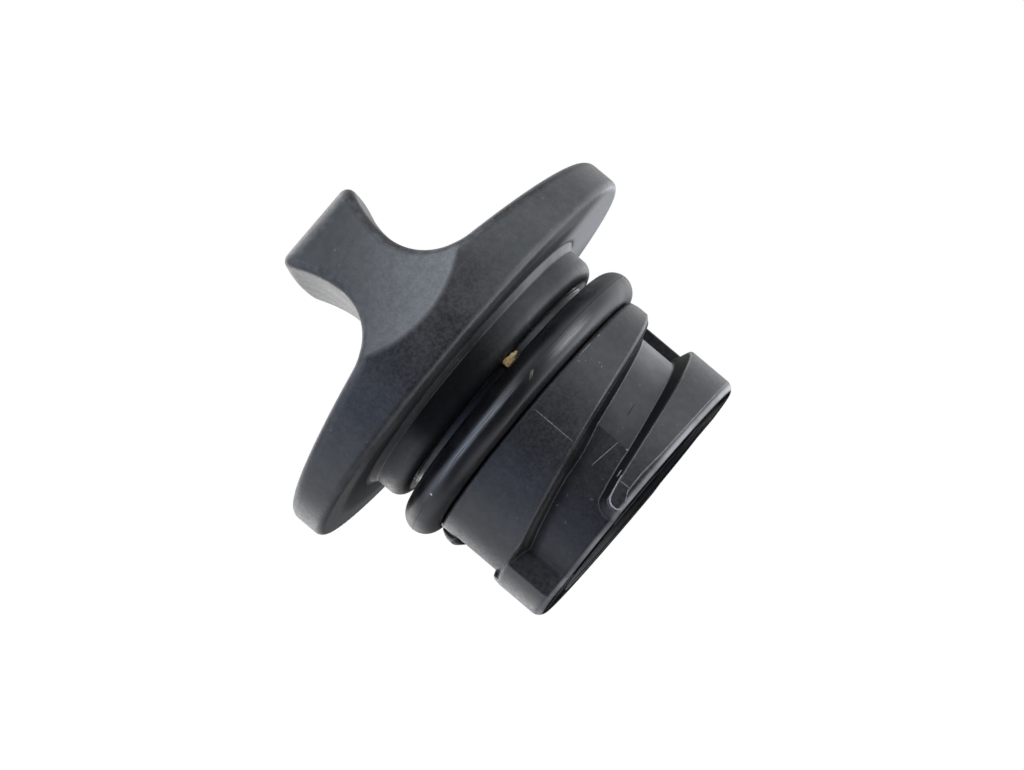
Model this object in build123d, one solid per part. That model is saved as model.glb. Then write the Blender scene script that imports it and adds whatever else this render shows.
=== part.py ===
from build123d import *
import os
from math import asin, atan2, cos, degrees, hypot, radians, sin, sqrt, tan

# Oil filler cap: a moulded plastic cap with a grip bar, and a rubber seal ring on its plug.
# Millimetres. The mouth rim lies on Z = 0, the grip is up, and the grip bar runs along Y.
# Angles about Z are counted from -Y, and grow towards +X.

# Overall sizes
cap_height = 56.1
plug_length = 29.9

# Flange: a round disc whose top slopes down to both sides of the grip
flange_diameter = 62.8
rim_height = 5.45
shoulder_slope = 8.7
rim_bottom_round = 1.1
rim_top_round = 1.5

# Grip bar: its sides bow outwards along it, and its ends roll over at the top
grip_waist = 10.6
grip_root_radius = 8.5
grip_flare_radius = 18.5
grip_bow_radius = 450.0
grip_top_length = 40.6
grip_end_slope = 28.0
grip_end_roll = 5.0
grip_edge_round = 1.3

# Collar under the flange
collar_diameter = 41.0
collar_height = 4.9
collar_flare = 0.8
collar_round = 1.9

# Seal ring, and its groove
seal_outer_diameter = 45.0
seal_section = 5.3
seal_fit = 0.05
groove_height = 6.5

# Land: each half is a round of this diameter, set off to one side as a cam
land_diameter = 40.3
cam_offset = 0.38
land_round = 0.7
land_end_drop = 3.2
land_end_depth = 0.95

# Bayonet: two lugs, and two rising channels between lugs and land
lead = 19.0
floor_diameter = 35.1
floor_flat = 34.2
channel_ceiling = 10.4
ceiling_drop = 1.2
lip_chamfer = 0.35
lug_diameter = 41.2
lug_edge = 3.1
lug_flank_rise = 1.1
lug_top_limit = 7.8
lug_end_round = 0.6
lug_round = 1.5
lug_tip_x = 3.4
lug_tip_radius = 1.25
pocket_wall_y = 10.35
stop_wall_y = 4.0
pocket_heel = 1.2

# Mouth and hollow
rim_round = 1.2
bore_diameter = 30.4
bore_draft = 1.0
crown_rise = 2.6
bore_round = 2.0
grip_core_width = 4.2
grip_core_length = 27.0
grip_core_wall = 5.0

# Values worked out from the sizes above
flange_radius = flange_diameter / 2
collar_bottom = plug_length - collar_height
land_top = collar_bottom - groove_height
seal_inner_radius = seal_outer_diameter / 2 - seal_section
groove_radius = seal_inner_radius - seal_fit
land_radius = land_diameter / 2
lug_radius = lug_diameter / 2
floor_radius = floor_diameter / 2
flank_slope = lug_flank_rise / (lug_radius - floor_radius)
bore_radius = bore_diameter / 2

# Working values: tool reach past the part, where edges are tested, and the span of the channel band
reach = flange_diameter
half_turn = Rot(0, 0, 180)
touch = 0.02
shares = (0, 0.25, 0.5, 0.75, 1)
band_start = -75
band_turn = 190
band_overlap = 0.6


def box_between(low, high):
    """A box given by its lowest and highest corners."""
    size = [high[i] - low[i] for i in range(3)]
    middle = [(high[i] + low[i]) / 2 for i in range(3)]
    return Pos(*middle) * Box(*size)


def cylinder_from(radius, bottom, top):
    """An upright cylinder on the axis."""
    return Pos(0, 0, (bottom + top) / 2) * Cylinder(radius, top - bottom)


def side_section():
    """Section across one side of the head, from just past the middle to beyond the rim."""
    slope = radians(shoulder_slope)
    rim_top = plug_length + rim_height
    waist = grip_waist / 2
    root_x = waist + grip_root_radius
    shoulder_z = rim_top + (flange_radius - root_x) * tan(slope)
    waist_z = shoulder_z + grip_root_radius / cos(slope)
    root_end = (root_x - grip_root_radius * sin(slope), waist_z - grip_root_radius * cos(slope))
    root_side = grip_root_radius * sqrt(0.5)
    root_mid = (root_x - root_side, waist_z - root_side)
    flare_x = waist + grip_flare_radius
    tip_x = flare_x - sqrt(grip_flare_radius ** 2 - (cap_height - waist_z) ** 2)
    mid_z = (waist_z + cap_height) / 2
    flare_mid = (flare_x - sqrt(grip_flare_radius ** 2 - (mid_z - waist_z) ** 2), mid_z)
    outer = (reach, rim_top - (reach - flange_radius) * tan(slope))
    inner_x = -waist / 4
    outline = [
        Line((inner_x, plug_length), (reach, plug_length)),
        Line((reach, plug_length), outer),
        Line(outer, root_end),
        ThreePointArc(root_end, root_mid, (waist, waist_z)),
        ThreePointArc((waist, waist_z), flare_mid, (tip_x, cap_height)),
        Line((tip_x, cap_height), (inner_x, cap_height)),
        Line((inner_x, cap_height), (inner_x, plug_length)),
    ]
    return make_face(outline)


def bowed_bar():
    """Both sides of the head, each turned about an upright axis far out on the other side."""
    axis = Axis((-grip_bow_radius, 0, 0), (0, 0, 1))
    turn = degrees(asin(reach / grip_bow_radius))
    side = revolve(Plane.XZ * side_section(), axis, revolution_arc=2 * turn)
    side = side.rotate(axis, -turn)
    return side + mirror(side, Plane.YZ)


def grip_profile():
    """Outline of the head from the side: flat top, rolled-over corners and sloping ends."""
    top = grip_top_length / 2
    foot = top + (cap_height - plug_length) * tan(radians(grip_end_slope))
    outline = Polyline(
        (-foot, plug_length), (foot, plug_length), (top, cap_height), (-top, cap_height), close=True
    )
    face = make_face(outline)
    rolled = fillet(face.vertices().sort_by(Axis.Y)[-2:], grip_end_roll)
    return (Plane.YZ * rolled).face()


def on_rim(edge):
    """True for an edge that follows the round side of the flange."""
    points = [edge @ share for share in shares]
    return all(abs(hypot(p.X, p.Y) - flange_radius) < touch for p in points)


def on_profile(edge, profile):
    """True for an edge along the grip's top, rolled corners or sloping ends, but not across them."""
    across = edge.geom_type == GeomType.LINE and abs((edge % 0.5).X) > 1 - touch
    points = [edge @ share for share in shares]
    return not across and all(profile.distance_to(Vector(0, p.Y, p.Z)) < touch for p in points)


def head():
    """Flange and grip: the bowed bar, cut round by the rim and by the profile of the grip."""
    disc = cylinder_from(flange_radius, plug_length, cap_height)
    bottom_edge = disc.edges().filter_by(GeomType.CIRCLE).sort_by(Axis.Z)[0]
    disc = fillet(bottom_edge, rim_bottom_round)
    face = grip_profile()
    profile = face.outer_wire()
    solid = bowed_bar() & disc & extrude(face, amount=reach, both=True)
    rim_middle = plug_length + rim_height / 2
    upper = [e for e in solid.edges() if e.center().Z > rim_middle]
    solid = fillet([e for e in upper if on_rim(e) and not on_profile(e, profile)], rim_top_round)
    upper = [e for e in solid.edges() if e.center().Z > rim_middle]
    return fillet([e for e in upper if on_profile(e, profile)], grip_edge_round)


def collar_and_groove():
    """Round neck between the flange and the land, with the seal's groove."""
    collar_radius = collar_diameter / 2
    flare_radius = collar_radius + collar_flare
    outline = Polyline(
        (0, land_top),
        (groove_radius, land_top),
        (groove_radius, collar_bottom),
        (collar_radius, collar_bottom),
        (collar_radius, plug_length - collar_flare),
        (flare_radius, plug_length),
        (0, plug_length),
        close=True,
    )
    face = make_face(outline)
    corner = face.vertices().sort_by_distance((collar_radius, collar_bottom))[0]
    return revolve(Plane.XZ * fillet(corner, collar_round), Axis.Z)


def land_half():
    """Half of the land on its offset centre, rounded along its top edge and its run-out."""
    centre = Pos(cam_offset, 0, 0)
    blank = centre * half_turn * cylinder_from(land_radius, lug_round, land_top) - land_run_out()
    curves = blank.edges().filter_by(GeomType.LINE, reverse=True)
    upper = [e for e in curves if e.center().Z > lug_round + touch]
    outer = [e for e in upper if all(on_land(e @ share) for share in shares)]
    blank = fillet(outer, land_round)
    left = box_between((-reach, -reach, 0), (0, -stop_wall_y, land_top))
    right = box_between((0, -reach, 0), (reach, stop_wall_y, land_top))
    return blank & (left + right)


def on_land(point):
    """True for a point on the round side of the land's half."""
    return abs(hypot(point.X - cam_offset, point.Y) - land_radius) < touch


def land_run_out():
    """What is taken off the land's top edge where the land runs out at the stop wall."""
    slope = degrees(atan2(land_end_drop, 2 * stop_wall_y))
    above = box_between((0, 0, 0), (reach, reach, land_top))
    above = Pos(0, -stop_wall_y, land_top) * Rot(-slope, 0, 0) * above
    kept = land_radius + cam_offset - land_end_depth
    return above - cylinder_from(kept, 0, 2 * land_top)


def lug_ring():
    """Full ring that the lugs are cut from, rounded at the mouth and sloped at the top."""
    outline = Polyline(
        (0, 0),
        (lug_radius, 0),
        (lug_radius, lug_top_limit),
        (floor_radius, lug_top_limit + lug_flank_rise),
        (0, lug_top_limit + lug_flank_rise),
        close=True,
    )
    face = make_face(outline)
    mouth_corner = face.vertices().sort_by_distance((lug_radius, 0))[0]
    face = fillet(mouth_corner, lug_round)
    top_corner = face.vertices().sort_by_distance((lug_radius, lug_top_limit))[0]
    return revolve(Plane.XZ * fillet(top_corner, lug_end_round), Axis.Z)


def heel():
    """Rounded inner corner between a pocket's end wall and the channel floor."""
    heel_y = pocket_wall_y + pocket_heel
    span = floor_radius + pocket_heel
    heel_x = sqrt(span ** 2 - heel_y ** 2)
    on_floor = (-heel_x * floor_radius / span, -heel_y * floor_radius / span)
    inside = (on_floor[0], -pocket_wall_y)
    outline = Polyline((-heel_x, -pocket_wall_y), on_floor, inside, close=True)
    face = make_face(outline) - Pos(-heel_x, -heel_y) * Circle(pocket_heel)
    return Pos(0, 0, rim_round) * extrude(face, amount=channel_ceiling)


def core():
    """Inner body of the plug, whose side is the channel floor, with a flat at each parting line."""
    outline = Polyline((0, 0), (floor_radius, 0), (floor_radius, land_top), (0, land_top), close=True)
    face = make_face(outline)
    corner = face.vertices().sort_by_distance((floor_radius, 0))[0]
    body = revolve(Plane.XZ * fillet(corner, rim_round), Axis.Z)
    half_flat = floor_flat / 2
    body = body & box_between((-reach, -half_flat, 0), (reach, half_flat, land_top))
    return body + heel() + half_turn * heel()


def helical_band():
    """Rising band between the lug below and the land above, swept past both of its ends."""
    inner = floor_radius - band_overlap
    outer = lug_radius + band_overlap
    lip = land_radius - lip_chamfer
    outline = Polyline(
        (inner, channel_ceiling - ceiling_drop),
        (floor_radius + ceiling_drop, channel_ceiling - lip_chamfer / 2),
        (lip, channel_ceiling),
        (outer, channel_ceiling + outer - lip),
        (outer, lug_edge - (outer - lug_radius) * flank_slope),
        (inner, lug_edge + (lug_radius - inner) * flank_slope),
        close=True,
    )
    section = Plane.XZ * make_face(outline)
    path = Helix(lead, lead * band_turn / 360, lug_radius)
    band = sweep(section, path, is_frenet=True)
    return Pos(0, 0, lead * band_start / 360) * Rot(0, 0, band_start - 90) * band


def channel():
    """One channel with its pocket, which opens to the mouth beside the lug's tip."""
    left = box_between((-reach, -reach, -reach), (0, -pocket_wall_y, reach))
    right = box_between((0, -reach, -reach), (reach, stop_wall_y, reach))
    return (helical_band() & (left + right)) + (pocket() - lug_tip()) - core()


def pocket():
    """Way in from the mouth, between the end wall and the middle of the lug's rounded tip."""
    top = lug_edge + lug_flank_rise
    return box_between((-reach, -reach, -reach), (lug_tip_radius - lug_tip_x, -pocket_wall_y, top))


def lug_tip():
    """Rounded end of a lug, which widens towards the channel floor as the lug's flank does."""
    depth = lug_radius - pocket_wall_y
    tip = Cone(lug_tip_radius + depth * flank_slope, lug_tip_radius, depth)
    middle_x = lug_tip_radius - lug_tip_x
    top_z = lug_edge + lead * degrees(asin(middle_x / lug_radius)) / 360
    middle = (middle_x, -pocket_wall_y - depth / 2, top_z - lug_tip_radius)
    return Pos(*middle) * Rot(90, 0, 0) * tip


def hollow():
    """Round bore with draft, and a narrower core up into the grip."""
    top = plug_length + crown_rise
    top_radius = bore_radius - top * tan(radians(bore_draft))
    outline = Polyline((0, 0), (bore_radius, 0), (top_radius, top), (0, top), close=True)
    face = make_face(outline)
    corner = face.vertices().sort_by_distance((top_radius, top))[0]
    bore = revolve(Plane.XZ * fillet(corner, bore_round), Axis.Z)
    core_top = cap_height - grip_core_wall
    slot = SlotOverall(grip_core_length, grip_core_width, rotation=90)
    return bore + extrude(Pos(0, 0, plug_length) * slot, amount=core_top - plug_length)


def cap_body():
    """The whole moulding."""
    plug = land_half() + half_turn * land_half() + lug_ring()
    plug = plug - channel() - half_turn * channel()
    return head() + collar_and_groove() + plug - hollow()


def o_ring():
    """Seal ring, seated on the land and round the groove."""
    radius = seal_section / 2
    centre_z = land_top + seal_fit + radius
    return Pos(0, 0, centre_z) * Torus(seal_inner_radius + radius, radius)


os.makedirs("parts", exist_ok=True)
export_step(cap_body(), "parts/cap_body.step")
export_step(o_ring(), "parts/o_ring.step")
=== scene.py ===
import bmesh
import bpy
import random
from math import asin, cos, degrees, pi, radians, sin
from mathutils import Matrix, Vector


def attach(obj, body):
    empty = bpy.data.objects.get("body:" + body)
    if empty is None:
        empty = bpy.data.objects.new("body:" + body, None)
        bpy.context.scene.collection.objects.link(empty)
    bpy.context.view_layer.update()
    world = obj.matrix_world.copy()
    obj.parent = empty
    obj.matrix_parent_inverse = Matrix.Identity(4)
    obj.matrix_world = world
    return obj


# Oil filler cap: finish, fine details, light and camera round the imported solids.
# Metres, in the part's own frame: mouth rim on Z = 0, grip up, camera side at -Y.
# Places on the cap are given by radius, turn and height, with the turn counted from -Y towards +X.

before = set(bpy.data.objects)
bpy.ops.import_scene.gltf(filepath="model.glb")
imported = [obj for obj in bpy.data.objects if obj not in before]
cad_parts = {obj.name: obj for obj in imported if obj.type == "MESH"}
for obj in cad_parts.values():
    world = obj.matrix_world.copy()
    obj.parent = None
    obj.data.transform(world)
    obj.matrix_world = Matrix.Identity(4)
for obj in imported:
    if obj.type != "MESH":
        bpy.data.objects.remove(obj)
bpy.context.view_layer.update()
mm = 0.001
upwards = Vector((0.0, 0.0, 1.0))
frontwards = Vector((0.0, -1.0, 0.0))


def lengths(*values):
    """Millimetres as metres."""
    return tuple(value * mm for value in values)


def turns(*values):
    """Degrees as radians."""
    return tuple(radians(value) for value in values)


# Camera: a long lens a little below the mouth, rolled so that the cap leans over to the left
image_width = 1024
sensor_width = 36.0
focal_pixels = 3632.0
camera_distance = 496.0 * mm
camera_turn = radians(-2.15)
camera_drop = radians(4.77)
camera_roll = radians(49.86)
target_side = 1.28 * mm
target_height = 23.6 * mm
clip_near = 0.01
clip_far = 20.0

# Floor under the mouth rim
floor_size = 3.0
floor_drop = 0.02 * mm
floor_colour = (0.83, 0.83, 0.83, 1.0)
floor_roughness = 0.9
floor_shine = 0.1

# Soft patches of light round the cap: turn, height, spread and colour, on top of a faint fill
light_patches = {
    "top_front": (4, 57, 26, (3.35, 3.65, 3.95)),
    "top_left": (300, 60, 27, (0.9, 1.05, 1.4)),
    "front_left": (308, 16, 24, (0.46, 0.6, 0.98)),
    "front_warm": (20, 24, 14, (0.4, 0.14, 0.05)),
    "right_front": (60, 0, 26, (2.1, 2.3, 2.5)),
    "right": (88, 6, 18, (0.7, 0.7, 0.75)),
    "right_back": (128, -10, 26, (1.4, 1.45, 1.5)),
    "behind_right": (156, -9, 14, (1.9, 1.9, 1.95)),
    "right_low": (66, -36, 14, (6.0, 6.0, 6.2)),
    "right_below": (116, -56, 25, (3.2, 3.4, 3.7)),
    "below": (140, -84, 15, (2.0, 2.0, 2.1)),
    "back_top": (178, 46, 24, (3.2, 3.2, 3.2)),
    "back_left": (206, 9, 17, (3.0, 3.0, 3.0)),
    "left": (268, 14, 26, (1.4, 1.5, 1.65)),
    "left_below": (240, -20, 22, (0.8, 0.8, 0.9)),
    "left_low": (282, -60, 20, (1.3, 1.3, 1.4)),
}
fill_colour = (0.02, 0.02, 0.02)
backdrop_colour = (1.0, 1.0, 1.0, 1.0)

# Radii and heights on the cap
land_radius = 20.15 * mm
land_top = 17.6 * mm
cam_offset = 0.38 * mm
lug_radius = 20.6 * mm
lug_round = 1.5 * mm
floor_radius = 17.55 * mm
floor_flat = 17.1 * mm
neck_radius = 17.15 * mm
seal_radius = 22.5 * mm
seal_half = 2.65 * mm
seal_middle = 21.2 * mm
channel_lead = 19.0 * mm
ceiling_height = 10.95 * mm
channel_stop, channel_start = turns(120, -60)

# Finish of the moulded plastic
plastic_colour = (0.020, 0.020, 0.0205)
plastic_roughness = 0.44
plastic_shine = 0.5
grain_size = 0.42 * mm
grain_depth = 0.013 * mm
mottle_size = 1.2 * mm
cloud_size = 7.0 * mm
crumb_size = 0.6 * mm
edge_round = 0.30 * mm
edge_facing = (0.995, 0.9)
shade_reach = 1.2 * mm
ray_samples = 6
cloud_tones = (0.7, 1.3)
grain_tones = (-0.3, 0.3)
mottle_tones = (0.92, 1.08)
flange_rim_tones = (1.0, 1.3)
cloud_roughness = (-0.03, 0.03)
grain_roughness = (-0.06, 0.06)
mottle_shine = (0.93, 1.07)

# Painted shade on the plastic and the wet groove: the share of tone left, and the sheen where wet or shaded
corner_shade_range = (0.1, 0.65)
corner_shade_tone = 0.35
channel_shade_tone = 0.28
flange_shade_tone = 0.5
collar_shade_tone = 0.45
floor_shade_tone = 0.5
groove_tone = 0.5
hollow_shade_tone = 0.4
wet_roughness = 0.2
wet_shine = 0.3
wet_relief = 0.1
shaded_tones = (0.3, 1.0)
shaded_roughness = 0.3
patchy_hollow_shade = (0.8, 1.0)

# Painted highlights and crumbs of dust on the plastic: the share of the pale colour
edge_highlight = 0.6
rim_highlight = 0.9
grip_highlight = 0.12
flange_highlight = 0.9
foot_highlight = 0.35
floor_highlight = 0.6
crumb_dust = 0.22
patchy_highlight = (0.4, 1.0)
mottled_highlight = (0.3, 1.0)
inner_rim_highlight = (0.2, 1.0)

# Ranges of the noise that patterns are read from
wide_range = (0.3, 0.7)
patch_range = (0.35, 0.65)
rub_range = (0.4, 0.62)
streak_range = (0.3, 0.65)
crumb_range = (0.74, 0.82)

# Areas of the plastic, each by the spans that its points lie in. A span of two values fades in from the
# first to the second. One of four fades in between its first two and out between its last two.
groove_area = {"radius": lengths(19.0, 18.0), "height": lengths(18.3, 18.5, 25.0, 25.2)}
# Painted shade on the channels' flanks, on the closed ends of their ceilings and on their floors under the
# ceiling
channel_radii = lengths(17.4, 17.7, 19.9, 20.3)
flank_area = {"radius": channel_radii, "height": lengths(10.0, 9.6), "upward": (0.5, 0.8)}
ceiling_area = {
    "radius": channel_radii,
    "height": lengths(4.0, 5.0, 17.0, 18.0),
    "channel_turn": turns(-6, 14),
    "upward": (-0.4, -0.8),
}
floor_area = {"radius": lengths(18.4, 18.0), "channel_turn": turns(20, -4)}
floor_near_ceiling = lengths(-1.2, -0.6, 0.5, 4.5)
floor_low = lengths(11.0, 9.0)
floor_low_share = 0.35
# Painted highlight on the right end of the channel floor
floor_highlight_area = {
    "radius": lengths(17.2, 17.4, 17.7, 17.9),
    "height": lengths(2.5, 3.5, 17.0, 18.0),
    "turn": turns(40, 72, 95, 110),
}
# Painted shade on the collar's front
collar_shade_area = {
    "radius": lengths(19.0, 19.8, 22.0, 22.5),
    "height": lengths(24.6, 25.2, 28.8, 29.6),
    "turn": turns(-48, -26, -8, 13),
}
# Painted highlight on the collar's root under the flange
foot_area = {
    "radius": lengths(20.0, 20.5, 22.0, 22.6),
    "height": lengths(28.8, 29.1, 29.75, 29.88),
    "turn": turns(8, 30, 60, 85),
}
# Painted shade on the flange's underside next to the collar, and a painted highlight on its right
flange_area = {"radius": lengths(21.4, 22.2), "height": lengths(28.0, 29.5), "upward": (-0.6, -0.9)}
flange_near_collar = lengths(28.5, 24.5)
flange_unshaded_turns = turns(45, 75, 110, 150)
flange_highlight_turns = turns(58, 79, 110, 150)
flange_rim = lengths(29.5, 30.8)
# Painted black shade in the hollow and on the mouth's lowest edge
hollow_area = {"radius": lengths(15.3, 15.0), "height": lengths(33.0, 32.5)}
mouth_area = {"height": lengths(0.32, 0.12)}
# Painted highlight on the mouth rim
rim_area = {"height": lengths(0.18, 0.34, 0.55, 1.0)}
rim_outside = lengths(15.5, 17.0)
# Painted sheen on the grip's ends, and painted highlights on its corners and edges
grip_end_area = {"endwise": (0.6, 0.8), "upward": (0.15, 0.4)}
grip_corner_area = {"height": lengths(51.5, 53.5), "upward": (0.5, 0.75, 0.93, 0.99)}
grip_edge_area = {
    "height": lengths(36.5, 39.0),
    "sideways": (0.15, 0.3, 0.6, 0.8),
    "endwise": (0.4, 0.6),
}

# Painted sheen on the grip's ends, which changes along a slant from their top left to their lower right
sheen_slant = 0.8
sheen_span = lengths(-54.0, -31.0)
sheen_change = (-0.34, 0.8)

# Finish of the rubber, with streaky painted highlight bands in two places, and duller sides
rubber_colour = (0.013, 0.013, 0.014)
rubber_roughness = 0.28
rubber_shine = 0.4
rubber_grain_size = 0.25 * mm
rubber_grain_depth = 0.002 * mm
smear_size = 3.0 * mm
smear_tones = (0.75, 1.25)
smear_roughness = (-0.04, 0.06)
side_turns = turns(50, 80)
side_roughness = 0.15
side_shine = 0.25
highlight_band_colour = (0.30, 0.31, 0.32)
band_streaks_along = 5.0
band_streaks_across = 14.0
band_front = {"section": turns(-9, 3, 7, 19), "turn": turns(-60, -20, -11, 8)}
band_front_share = (0.3, 1.0)
band_right = {"section": turns(-36, -22, -16, 0), "turn": turns(14, 23, 30, 43)}
band_right_share = (0.15, 0.4)

# Finish of the small marks: colour, roughness and size of their spots
pale_colour = (0.30, 0.30, 0.305)
small_finishes = {
    # Pale marks: real flash, scratches and specks, and the painted edge highlight round the lugs' tips
    "pale_plastic_marks": (pale_colour, 0.5, 0.1 * mm),
    "rubbed_lines": ((0.13, 0.13, 0.135), 0.5, 0.3 * mm),
    "scratched_plastic": ((0.004, 0.004, 0.004), 0.6, 0.1 * mm),
    "old_oil_and_hollow_shade": ((0.88, 0.55, 0.22), 0.12, 0.4 * mm),
    # A painted highlight on the oil drop; the drop's painted reflection on the ring, which also tints a
    # smear in the channel
    "oil_glint": ((1.0, 0.80, 0.48), 0.35, 0.4 * mm),
    "oil_stain": ((0.08, 0.066, 0.035), 0.4, 0.3 * mm),
    "dust": ((0.75, 0.75, 0.75), 0.8, 0.1 * mm),
}
spot_tones = (0.6, 1.4)
spot_roughness = (-0.05, 0.05)
spot_relief = 0.1

# Lines along a lug, by turn in degrees and height in millimetres: round its tip, and along its mouth edge
# The line round the tip is painted pale as an edge highlight
tip_outline = (
    (2, 3.3), (-4, 2.85), (-6.8, 2.58), (-8.2, 2.2), (-8.8, 1.7), (-8.8, 1.0), (-8, 0.65), (-6.8, 0.55)
)
mouth_edge = (
    (-6.8, 0.55), (-4, 0.8), (-0.9, 1.35), (7, 1.45), (18, 1.2), (40, 1.1), (60, 1.15), (86, 1.2)
)
line_height = 0.05 * mm
line_sides = {"front": 0, "back": 180}

# Specks on the land, by turn in degrees and height in millimetres
land_specks = {"high": (28.2, 16.5), "low": (29.5, 15.2), "near": (28.6, 14.7), "left": (26.0, 16.8)}
speck_sizes = lengths(0.3, 0.24, 0.05)

# Oil drop under the collar, its turn in degrees, and the slant of its painted reflection on the ring
drop_radius = 18.7 * mm
drop_turn = 9.7
drop_height = 24.45 * mm
reflection_slant = 0.5

# Fineness of the small meshes
ridge_corners = 8
ridge_tip = 0.15
seal_steps = 240


# Shader nodes

def add_node(tree, kind, inputs=None, **settings):
    """Adds a shader node; each input is a value or another node's output."""
    made = tree.nodes.new("ShaderNode" + kind)
    for name, value in settings.items():
        setattr(made, name, value)
    set_inputs(tree, made, inputs or {})
    return made


def set_inputs(tree, node, inputs):
    """Links or sets inputs of a node."""
    for key, value in inputs.items():
        if isinstance(value, bpy.types.NodeSocket):
            tree.links.new(value, node.inputs[key])
        else:
            node.inputs[key].default_value = value


def new_material(name):
    """A node material with its tree and its principled shader."""
    material = bpy.data.materials.new(name)
    material.use_nodes = True
    tree = material.node_tree
    return material, tree, tree.nodes["Principled BSDF"]


def calc(tree, operation, *values):
    """Output of a math node."""
    return add_node(tree, "Math", dict(enumerate(values)), operation=operation).outputs[0]


def joined(tree, operation, values):
    """Several values taken together by one math operation."""
    result = values[0]
    for value in values[1:]:
        result = calc(tree, operation, result, value)
    return result


def product(tree, *values):
    """Product of several values."""
    return joined(tree, "MULTIPLY", values)


def added(tree, *values):
    """Sum of several values."""
    return joined(tree, "ADD", values)


def largest(tree, *values):
    """Largest of several values."""
    return joined(tree, "MAXIMUM", values)


def remap(tree, value, low, high, new_low, new_high):
    """Output that goes from new_low to new_high as the value goes from low to high, and stops there."""
    inputs = {0: value, 1: low, 2: high, 3: new_low, 4: new_high}
    return add_node(tree, "MapRange", inputs, interpolation_type="SMOOTHSTEP").outputs[0]


def by_mask(tree, mask, outside, inside):
    """One value where a mask is 0, and another where it is 1."""
    return remap(tree, mask, 0.0, 1.0, outside, inside)


def noise(tree, place, size, detail):
    """Soft noise from 0 to 1 with patches of about the given size."""
    inputs = {"Vector": place, "Scale": 1.0 / size, "Detail": detail}
    return add_node(tree, "TexNoise", inputs).outputs["Fac"]


def scale_colour(tree, colour, tone):
    """A colour made lighter or darker."""
    return add_node(tree, "VectorMath", {0: colour, "Scale": tone}, operation="SCALE").outputs[0]


def blend(tree, share, colour, other):
    """A colour mixed with another by a share from 0 to 1."""
    inputs = {"Factor": share, 6: colour, 7: other + (1.0,)}
    return add_node(tree, "Mix", inputs, data_type="RGBA").outputs[2]


def within(tree, value, span):
    """1 inside a span and 0 outside it."""
    inside = remap(tree, value, span[0], span[1], 0.0, 1.0)
    if len(span) == 4:
        inside = product(tree, inside, remap(tree, value, span[2], span[3], 1.0, 0.0))
    return inside


def area_mask(tree, spot, area):
    """1 at a spot inside all spans of an area, and 0 elsewhere."""
    return product(tree, *[within(tree, spot[name], span) for name, span in area.items()])


def round_place(tree, place):
    """Distance from the axis, turn about it from -Y towards +X, and height."""
    x, y, z = add_node(tree, "SeparateXYZ", {0: place}).outputs
    flat = add_node(tree, "CombineXYZ", {0: x, 1: y}).outputs[0]
    radius = add_node(tree, "VectorMath", {0: flat}, operation="LENGTH").outputs["Value"]
    turn = calc(tree, "ARCTAN2", x, calc(tree, "MULTIPLY", y, -1.0))
    return radius, turn, z


# Plastic

def plastic_spot(tree):
    """What the finish goes by at a spot: place on the cap, way the surface faces, and three patterns."""
    place = add_node(tree, "TexCoord").outputs["Object"]
    normal = add_node(tree, "NewGeometry").outputs["Normal"]
    radius, turn, height = round_place(tree, place)
    normal_x, normal_y, upward = add_node(tree, "SeparateXYZ", {0: normal}).outputs
    return {
        "place": place,
        "normal": normal,
        "radius": radius,
        "turn": turn,
        "height": height,
        "channel_turn": calc(tree, "WRAP", turn, channel_stop, channel_start),
        "upward": upward,
        "sideways": calc(tree, "ABSOLUTE", normal_x),
        "endwise": calc(tree, "ABSOLUTE", normal_y),
        "cloud": noise(tree, place, cloud_size, 3.0),
        "grain": noise(tree, place, grain_size, 3.0),
        "mottle": noise(tree, place, mottle_size, 4.0),
    }


def channel_shade_mask(tree, spot):
    """1 on the channels' flanks and the closed ends of their ceilings, where painted shade lies, and 0
    elsewhere.
    """
    return largest(tree, area_mask(tree, spot, flank_area), area_mask(tree, spot, ceiling_area))


def flange_shade_mask(tree, spot, under):
    """1 on the flange's underside next to the collar, but for its right, where painted shade lies, and 0
    elsewhere.
    """
    near = within(tree, spot["radius"], flange_near_collar)
    unshaded = within(tree, spot["turn"], flange_unshaded_turns)
    return product(tree, under, near, calc(tree, "SUBTRACT", 1.0, unshaded))


def floor_shade_mask(tree, spot):
    """1 on the channels' floors under the low part of the ceiling, less lower down, where painted shade
    lies, and 0 elsewhere.
    """
    rise = channel_lead / (2 * pi)
    ceiling = calc(tree, "MULTIPLY_ADD", spot["channel_turn"], rise, ceiling_height)
    near = within(tree, calc(tree, "SUBTRACT", ceiling, spot["height"]), floor_near_ceiling)
    low = product(tree, within(tree, spot["height"], floor_low), floor_low_share)
    return product(tree, area_mask(tree, spot, floor_area), largest(tree, near, low))


def hollow_shade_mask(tree, spot):
    """1 in the plug's hollow and on the lowest edge of its mouth, painted black as shade, and 0 elsewhere.
    """
    return largest(tree, area_mask(tree, spot, hollow_area), area_mask(tree, spot, mouth_area))


def edge_mask(tree, spot, rounded):
    """1 on the outer edges, where a rounded normal turns away from the true one, and 0 on faces."""
    facing = add_node(tree, "VectorMath", {0: rounded, 1: spot["normal"]}, operation="DOT_PRODUCT")
    return within(tree, facing.outputs["Value"], edge_facing)


def grip_painted_sheen(tree, spot):
    """Painted sheen: how much more or less the ends of the grip shine, changing along a slant."""
    side = add_node(tree, "SeparateXYZ", {0: spot["place"]}).outputs["X"]
    down = calc(tree, "MULTIPLY", spot["height"], -1.0)
    slant = calc(tree, "MULTIPLY_ADD", side, sheen_slant, down)
    change = remap(tree, slant, *sheen_span, *sheen_change)
    return calc(tree, "MULTIPLY_ADD", area_mask(tree, spot, grip_end_area), change, 1.0)


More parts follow.
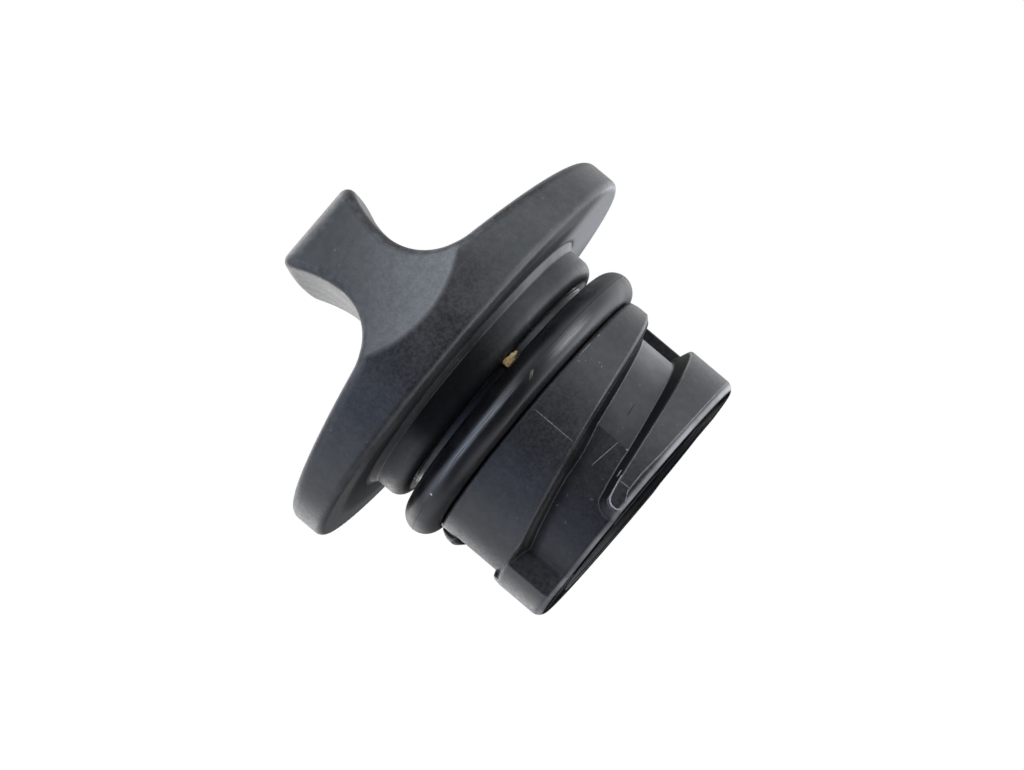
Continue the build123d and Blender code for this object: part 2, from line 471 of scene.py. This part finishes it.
def painted_shade_share(tree, spot, under):
    """Share of the tone that painted shade leaves: 1 where there is none, and less where it lies."""
    return product(
        tree,
        by_mask(tree, channel_shade_mask(tree, spot), 1.0, channel_shade_tone),
        by_mask(tree, flange_shade_mask(tree, spot, under), 1.0, flange_shade_tone),
        by_mask(tree, area_mask(tree, spot, collar_shade_area), 1.0, collar_shade_tone),
        by_mask(tree, floor_shade_mask(tree, spot), 1.0, floor_shade_tone),
    )


def plastic_tone(tree, spot, wet, unshaded):
    """How light the black is: uneven all over, lighter at the flange's rim, darker where wet and under
    painted shade.
    """
    cloudy = remap(tree, spot["cloud"], *wide_range, *cloud_tones)
    grainy = remap(tree, spot["grain"], *wide_range, *grain_tones)
    return product(
        tree,
        added(tree, cloudy, grainy),
        by_mask(tree, wet, 1.0, groove_tone),
        unshaded,
        remap(tree, spot["radius"], *flange_rim, *flange_rim_tones),
        remap(tree, spot["mottle"], *wide_range, *mottle_tones),
    )


def highlight_and_dust_share(tree, spot, under, edges):
    """Share of the plastic painted pale: painted highlights on edges, rims, corners and lit spots, and
    crumbs of dust.
    """
    patchy = remap(tree, spot["cloud"], *patch_range, *patchy_highlight)
    mottled = remap(tree, spot["mottle"], *rub_range, *mottled_highlight)
    outside = remap(tree, spot["radius"], *rim_outside, *inner_rim_highlight)
    right_lit = within(tree, spot["turn"], flange_highlight_turns)
    corners = largest(tree, area_mask(tree, spot, grip_corner_area), area_mask(tree, spot, grip_edge_area))
    crumbs = noise(tree, spot["place"], crumb_size, 1.0)
    return largest(
        tree,
        product(tree, edges, patchy, edge_highlight),
        product(tree, corners, mottled, grip_highlight),
        product(tree, area_mask(tree, spot, rim_area), outside, patchy, rim_highlight),
        product(tree, under, right_lit, flange_highlight),
        product(tree, area_mask(tree, spot, foot_area), patchy, foot_highlight),
        product(tree, area_mask(tree, spot, floor_highlight_area), patchy, floor_highlight),
        remap(tree, crumbs, *crumb_range, 0.0, crumb_dust),
    )


def plastic_sheen(tree, spot, wet, shade_left):
    """Roughness of the plastic: uneven all over, smooth where wet, rougher under painted shade."""
    return added(
        tree,
        remap(tree, spot["cloud"], *wide_range, *cloud_roughness),
        remap(tree, spot["grain"], *wide_range, *grain_roughness),
        by_mask(tree, wet, plastic_roughness, wet_roughness),
        remap(tree, shade_left, *shaded_tones, shaded_roughness, 0.0),
    )


def cap_plastic():
    """Fine-grained satin black plastic: clouded, wet in the groove, with painted highlights and painted
    shade.
    """
    material, tree, shader = new_material("cap_plastic_finish")
    spot = plastic_spot(tree)
    rounded = add_node(tree, "Bevel", {"Radius": edge_round}, samples=ray_samples).outputs[0]
    nearby = add_node(tree, "AmbientOcclusion", {"Distance": shade_reach}, samples=ray_samples)
    wet = area_mask(tree, spot, groove_area)
    under = area_mask(tree, spot, flange_area)
    shade_left = painted_shade_share(tree, spot, under)
    old_oil_and_hollow_shade = product(tree, hollow_shade_mask(tree, spot), remap(tree, spot["cloud"], *patch_range, *patchy_hollow_shade))
    # Painted shade: darker and less shiny in corners, in the channels, under the flange, on the collar's
    # front and in the hollow
    unshaded = product(
        tree,
        remap(tree, nearby.outputs["AO"], *corner_shade_range, corner_shade_tone, 1.0),
        shade_left,
        by_mask(tree, old_oil_and_hollow_shade, 1.0, hollow_shade_tone),
    )
    colour = scale_colour(tree, plastic_colour, plastic_tone(tree, spot, wet, unshaded))
    pale = highlight_and_dust_share(tree, spot, under, edge_mask(tree, spot, rounded))
    shine = product(
        tree,
        unshaded,
        grip_painted_sheen(tree, spot),
        by_mask(tree, wet, plastic_shine, wet_shine),
        by_mask(tree, old_oil_and_hollow_shade, 1.0, 0.0),
        remap(tree, spot["mottle"], *wide_range, *mottle_shine),
    )
    relief = product(tree, spot["grain"], by_mask(tree, wet, 1.0, wet_relief))
    bump = {"Height": relief, "Distance": grain_depth, "Normal": rounded}
    finish = {
        "Base Color": blend(tree, pale, colour, pale_colour),
        "Roughness": plastic_sheen(tree, spot, wet, shade_left),
        "Specular IOR Level": shine,
        "Normal": add_node(tree, "Bump", bump).outputs[0],
    }
    set_inputs(tree, shader, finish)
    return material


# Rubber and small marks

def seal_painted_highlight(tree, spot):
    """Share of the ring under streaky painted highlight bands, along its front and at its right."""
    along = calc(tree, "MULTIPLY", spot["turn"], band_streaks_along)
    across = calc(tree, "MULTIPLY", spot["section"], band_streaks_across)
    unrolled = add_node(tree, "CombineXYZ", {0: along, 1: across}).outputs[0]
    streaks = noise(tree, unrolled, 1.0, 3.0)
    front = product(
        tree, area_mask(tree, spot, band_front), remap(tree, streaks, *streak_range, *band_front_share)
    )
    right = product(
        tree, area_mask(tree, spot, band_right), remap(tree, streaks, *streak_range, *band_right_share)
    )
    return largest(tree, front, right)


def seal_rubber():
    """Smooth black rubber with streaky painted highlight bands, rougher and less shiny at its sides and
    back.
    """
    material, tree, shader = new_material("seal_rubber_finish")
    place = add_node(tree, "TexCoord").outputs["Object"]
    radius, turn, height = round_place(tree, place)
    rise = calc(tree, "SUBTRACT", height, seal_middle)
    reach = calc(tree, "SUBTRACT", radius, seal_radius - seal_half)
    spot = {"turn": turn, "section": calc(tree, "ARCTAN2", rise, reach)}
    smear = noise(tree, place, smear_size, 3.0)
    grain = noise(tree, place, rubber_grain_size, 2.0)
    sides = within(tree, calc(tree, "ABSOLUTE", turn), side_turns)
    colour = scale_colour(tree, rubber_colour, remap(tree, smear, *wide_range, *smear_tones))
    # Painted highlight bands on the ring's colour
    colour = blend(tree, seal_painted_highlight(tree, spot), colour, highlight_band_colour)
    rough = added(tree, remap(tree, smear, *wide_range, *smear_roughness), rubber_roughness)
    rough = calc(tree, "MULTIPLY_ADD", sides, side_roughness, rough)
    shine = by_mask(tree, sides, rubber_shine, side_shine)
    bump = add_node(tree, "Bump", {"Height": grain, "Distance": rubber_grain_depth}).outputs[0]
    finish = {"Base Color": colour, "Roughness": rough, "Specular IOR Level": shine, "Normal": bump}
    set_inputs(tree, shader, finish)
    return material


def small_finish(name, base, roughness, size):
    """Uneven finish of one colour for small marks."""
    material, tree, shader = new_material(name)
    place = add_node(tree, "TexCoord").outputs["Object"]
    spots = noise(tree, place, size, 3.0)
    colour = scale_colour(tree, base, remap(tree, spots, *wide_range, *spot_tones))
    rough = added(tree, remap(tree, spots, *wide_range, *spot_roughness), roughness)
    bump = add_node(tree, "Bump", {"Height": spots, "Distance": spot_relief * size}).outputs[0]
    set_inputs(tree, shader, {"Base Color": colour, "Roughness": rough, "Normal": bump})
    return material


def dress(node, material):
    """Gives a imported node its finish."""
    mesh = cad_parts[node].data
    mesh.materials.clear()
    mesh.materials.append(material)


# Places on the cap, each with the way straight out of the surface

def aim(turn, height):
    """Unit vector at a turn from -Y towards +X and a height over the horizon, in degrees."""
    t, h = radians(turn), radians(height)
    return Vector((sin(t) * cos(h), -cos(t) * cos(h), sin(h)))


def on_side(radius, turn, height):
    """A place on a round side of the cap."""
    out = aim(turn, 0)
    return out * radius + upwards * height, out


def on_land(turn, height):
    """A place on the front half of the land, whose centre is set off to the right."""
    out = aim(turn, 0)
    return out * land_radius + Vector((cam_offset, 0.0, height)), out


def on_lug(turn, height):
    """A place on a lug, which rounds over towards the mouth."""
    under = max(lug_round - height, 0.0)
    out = aim(turn, -degrees(asin(under / lug_round)))
    middle = aim(turn, 0) * (lug_radius - lug_round) + upwards * max(height, lug_round)
    return middle + out * lug_round, out


def on_flat(side, height):
    """A place on the flat of the front channel's floor."""
    return Vector((side, -floor_flat, height)), frontwards


def shares(count):
    """Even steps from 0 to 1."""
    return [i / (count - 1) for i in range(count)]


def arc_spine(radius, start, stop, low, high, count):
    """Places along a round side, from one turn and height to another."""
    return [
        on_side(radius, start + (stop - start) * share, low + (high - low) * share)
        for share in shares(count)
    ]


def land_spine(start, stop, height, count):
    """Places along the front half of the land at one height."""
    return [on_land(start + (stop - start) * share, height) for share in shares(count)]


def flat_spine(start, stop, low, high, count):
    """Places along the flat of the front channel's floor, from one side and height to another."""
    return [on_flat(start + (stop - start) * share, low + (high - low) * share) for share in shares(count)]


def lug_spine(places, start, steps):
    """Places along a lug through pairs of a turn from its start and a height in millimetres."""
    spine = []
    for (turn, height), (next_turn, next_height) in zip(places, places[1:]):
        for i in range(steps):
            share = i / steps
            level = height + (next_height - height) * share
            spine.append(on_lug(start + turn + (next_turn - turn) * share, level * mm))
    return spine


# Small pieces

def add_piece(name, mesh_data, material):
    """Puts a finished mesh into the scene as a piece that rides on the cap."""
    mesh = bpy.data.meshes.new(name)
    bmesh.ops.recalc_face_normals(mesh_data, faces=mesh_data.faces)
    mesh_data.to_mesh(mesh)
    mesh_data.free()
    mesh.shade_smooth()
    mesh.materials.append(material)
    piece = bpy.data.objects.new(name, mesh)
    bpy.context.scene.collection.objects.link(piece)
    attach(piece, "root")


def ridge_rings(mesh_data, spine, width, height, closed):
    """Rings of vertices across a ridge, one at each place of its spine."""
    count = len(spine)
    rings = []
    for i, (point, out) in enumerate(spine):
        after, before = i + 1, i - 1
        if not closed:
            after, before = min(after, count - 1), max(before, 0)
        ahead = spine[after % count][0] - spine[before][0]
        side = out.cross(ahead).normalized()
        taper = 1.0 if closed else ridge_tip + (1.0 - ridge_tip) * sin(pi * (i + 0.5) / count) ** 0.5
        ring = []
        for k in range(ridge_corners):
            turn = 2 * pi * k / ridge_corners
            offset = side * (cos(turn) * width / 2) + out * (sin(turn) * height)
            ring.append(mesh_data.verts.new(point + offset * taper))
        rings.append(ring)
    return rings


def ridge(name, spine, width, height, material, closed=False):
    """A low rounded ridge along places on a surface, half sunk, tapering at open ends."""
    mesh_data = bmesh.new()
    rings = ridge_rings(mesh_data, spine, width, height, closed)
    following = rings[1:] + rings[:1] if closed else rings[1:]
    for near, far in zip(rings, following):
        for k in range(ridge_corners):
            n = (k + 1) % ridge_corners
            mesh_data.faces.new((near[k], near[n], far[n], far[k]))
    if not closed:
        mesh_data.faces.new(rings[0])
        mesh_data.faces.new(rings[-1])
    add_piece(name, mesh_data, material)


def lumped(point, phases):
    """A point of a unit ball moved in or out by a few slow waves."""
    x, y = point.x, point.y
    lump = 1.0 + 0.14 * sin(3.1 * x + phases[0])
    lump += 0.12 * sin(4.3 * y + 2.0 * x + phases[1])
    lump += 0.06 * sin(7.0 * x - 5.0 * y + phases[2])
    return point * lump


def blob(name, place, along, sizes, material):
    """A small uneven drop or crumb, half sunk in the surface; sizes along, across and outwards."""
    point, out = place
    across = out.cross(along)
    draw = random.Random(name)
    phases = [draw.uniform(0.0, 2 * pi) for _ in range(3)]
    mesh_data = bmesh.new()
    bmesh.ops.create_icosphere(mesh_data, subdivisions=3, radius=1.0)
    for vertex in mesh_data.verts:
        c = lumped(vertex.co, phases)
        flat = along * (c.x * sizes[0] / 2) + across * (c.y * sizes[1] / 2)
        vertex.co = point + flat + out * (c.z * sizes[2])
    add_piece(name, mesh_data, material)


def parting_lines(lined, pale_marks):
    """Thin lines of the mould on land and lugs, pale lines round the lugs' tips, painted as edge highlights,
    and rubbed lines along their mouth edges, on both sides.
    """
    for side, turn in line_sides.items():
        land = arc_spine(land_radius, turn, turn, ceiling_height, land_top, 24)
        ridge("land_line_" + side, land, 0.16 * mm, line_height, lined)
        lug = arc_spine(lug_radius, turn + 0.2, turn + 0.2, lug_round, 3.0 * mm, 12)
        ridge("lug_line_" + side, lug, 0.18 * mm, line_height, lined)
        # Pale line round the lug's tip: a painted edge highlight
        tip = lug_spine(tip_outline, turn, 6)
        ridge("tip_line_" + side, tip, 0.24 * mm, line_height, pale_marks)
        mouth = lug_spine(mouth_edge, turn, 12)
        ridge("mouth_line_" + side, mouth, 0.2 * mm, line_height, lined)


def marks(pale_marks, lined, scratched):
    """Flash, specks and scratches on the front of the plug."""
    ridge("flash_long", land_spine(26, 34, 17.85 * mm, 24), 0.16 * mm, 0.07 * mm, lined)
    ridge("flash_short", land_spine(38, 40, 17.8 * mm, 10), 0.18 * mm, 0.07 * mm, lined)
    flash = arc_spine(lug_radius - 0.1 * mm, 0.5, 3.5, 3.66 * mm, 3.76 * mm, 12)
    ridge("lug_flash", flash, 0.12 * mm, 0.06 * mm, pale_marks)
    rub = flat_spine(-0.7 * mm, 3.9 * mm, 7.3 * mm, 6.6 * mm, 24)
    ridge("scratch_light", rub, 0.12 * mm, 0.03 * mm, pale_marks)
    cut = arc_spine(floor_radius, 25, 32, 8.0 * mm, 8.3 * mm, 24)
    ridge("scratch_dark", cut, 0.16 * mm, 0.02 * mm, scratched)
    blob("speck_floor", on_side(floor_radius, 12.8, 5.05 * mm), upwards, speck_sizes, pale_marks)
    for name, (turn, height) in land_specks.items():
        blob("speck_" + name, on_land(turn, height * mm), upwards, speck_sizes, lined)


def seal_details(rubber, dust):
    """Mould line round the seal ring, with a crumb of dust on it."""
    last_turn = 360 - 360 / seal_steps
    loop = arc_spine(seal_radius - 0.01 * mm, 0, last_turn, seal_middle, seal_middle, seal_steps)
    ridge("seal_line", loop, 0.22 * mm, 0.03 * mm, rubber, closed=True)
    blob("seal_dust", on_side(seal_radius, -50, seal_middle), upwards, lengths(0.34, 0.4, 0.05), dust)


def oil_details(oil, highlight_finish, reflection_and_stain):
    """Old oil: a drop under the collar with a painted highlight, a bead, the drop's painted reflection on
    the ring, a smear in the channel.
    """
    place = on_side(drop_radius, drop_turn, drop_height)
    along = upwards.cross(place[1])
    blob("oil_drop", place, along, lengths(2.4, 1.2, 0.6), oil)
    place = on_side(drop_radius + 0.5 * mm, drop_turn + 0.5, drop_height + 0.05 * mm)
    blob("oil_glint", place, along, lengths(1.5, 0.7, 0.2), highlight_finish)
    blob("oil_bead", on_side(neck_radius, 6.6, 23.2 * mm), along, lengths(0.6, 0.4, 0.2), oil)
    slanted = (along + upwards * reflection_slant).normalized()
    place = on_side(seal_radius - 0.02 * mm, 8, seal_middle - 0.46 * mm)
    blob("oil_stain", place, slanted, lengths(1.8, 0.4, 0.05), reflection_and_stain)
    blob("oil_smear", on_flat(-3.7 * mm, 9.5 * mm), upwards, lengths(1.5, 0.9, 0.03), reflection_and_stain)


# Camera, light and floor

def make_camera():
    """Camera at the photograph's viewing angle."""
    side = Vector((cos(camera_turn), sin(camera_turn), 0.0))
    back = Vector((
        sin(camera_turn) * cos(camera_drop),
        -cos(camera_turn) * cos(camera_drop),
        -sin(camera_drop),
    ))
    up = back.cross(side)
    target = side * target_side + upwards * target_height
    right = side * cos(camera_roll) - up * sin(camera_roll)
    top = side * sin(camera_roll) + up * cos(camera_roll)
    data = bpy.data.cameras.new("camera")
    data.sensor_width = sensor_width
    data.lens = focal_pixels * sensor_width / image_width
    data.clip_start = clip_near
    data.clip_end = clip_far
    camera = bpy.data.objects.new("camera", data)
    bpy.context.scene.collection.objects.link(camera)
    place = Matrix((right, top, back)).transposed().to_4x4()
    place.translation = target + back * camera_distance
    camera.matrix_world = place
    bpy.context.scene.camera = camera


def make_world():
    """Soft patches of light all round, and a white backdrop that only the camera sees."""
    world = bpy.data.worlds.new("studio")
    bpy.context.scene.world = world
    world.use_nodes = True
    tree = world.node_tree
    way = add_node(tree, "TexCoord").outputs["Generated"]
    total = add_node(tree, "CombineXYZ", dict(enumerate(fill_colour))).outputs[0]
    for turn, height, spread, colour in light_patches.values():
        sharpness = 1.0 / (1.0 - cos(radians(spread)))
        facing = add_node(tree, "VectorMath", {0: way, 1: aim(turn, height)}, operation="DOT_PRODUCT")
        fade = calc(tree, "MULTIPLY_ADD", facing.outputs["Value"], sharpness, -sharpness)
        light = scale_colour(tree, colour, calc(tree, "EXPONENT", fade))
        total = add_node(tree, "VectorMath", {0: total, 1: light}, operation="ADD").outputs[0]
    studio = tree.nodes["Background"]
    tree.links.new(total, studio.inputs["Color"])
    backdrop = add_node(tree, "Background", {"Color": backdrop_colour, "Strength": 1.0})
    seen = add_node(tree, "LightPath").outputs["Is Camera Ray"]
    mix = add_node(tree, "MixShader", {0: seen, 1: studio.outputs[0], 2: backdrop.outputs[0]})
    tree.links.new(mix.outputs[0], tree.nodes["World Output"].inputs["Surface"])


def floor_paint():
    """Pale paint that only the camera sees, and only from above."""
    material, tree, shader = new_material("floor_paint")
    paint = {"Base Color": floor_colour, "Roughness": floor_roughness, "Specular IOR Level": floor_shine}
    set_inputs(tree, shader, paint)
    behind = add_node(tree, "NewGeometry").outputs["Backfacing"]
    seen = add_node(tree, "LightPath").outputs["Is Camera Ray"]
    front = add_node(tree, "Math", {0: seen, 1: behind}, operation="SUBTRACT", use_clamp=True).outputs[0]
    clear = add_node(tree, "BsdfTransparent").outputs[0]
    mix = add_node(tree, "MixShader", {0: front, 1: clear, 2: shader.outputs[0]})
    tree.links.new(mix.outputs[0], tree.nodes["Material Output"].inputs["Surface"])
    return material


def make_floor():
    """Floor under the cap, clear from below, where the camera stands."""
    half = floor_size / 2
    mesh = bpy.data.meshes.new("floor")
    corners = [(-half, -half, 0.0), (half, -half, 0.0), (half, half, 0.0), (-half, half, 0.0)]
    mesh.from_pydata(corners, [], [(0, 1, 2, 3)])
    mesh.materials.append(floor_paint())
    floor = bpy.data.objects.new("floor", mesh)
    floor.location.z = -floor_drop
    bpy.context.scene.collection.objects.link(floor)


bpy.context.scene.view_settings.view_transform = "Standard"
make_camera()
make_world()
make_floor()
plastic = cap_plastic()
rubber = seal_rubber()
dress("cap_body", plastic)
dress("o_ring", rubber)
finishes = {name: small_finish(name, *values) for name, values in small_finishes.items()}
parting_lines(finishes["rubbed_lines"], finishes["pale_plastic_marks"])
marks(finishes["pale_plastic_marks"], finishes["rubbed_lines"], finishes["scratched_plastic"])
seal_details(rubber, finishes["dust"])
oil_details(finishes["old_oil_and_hollow_shade"], finishes["oil_glint"], finishes["oil_stain"])
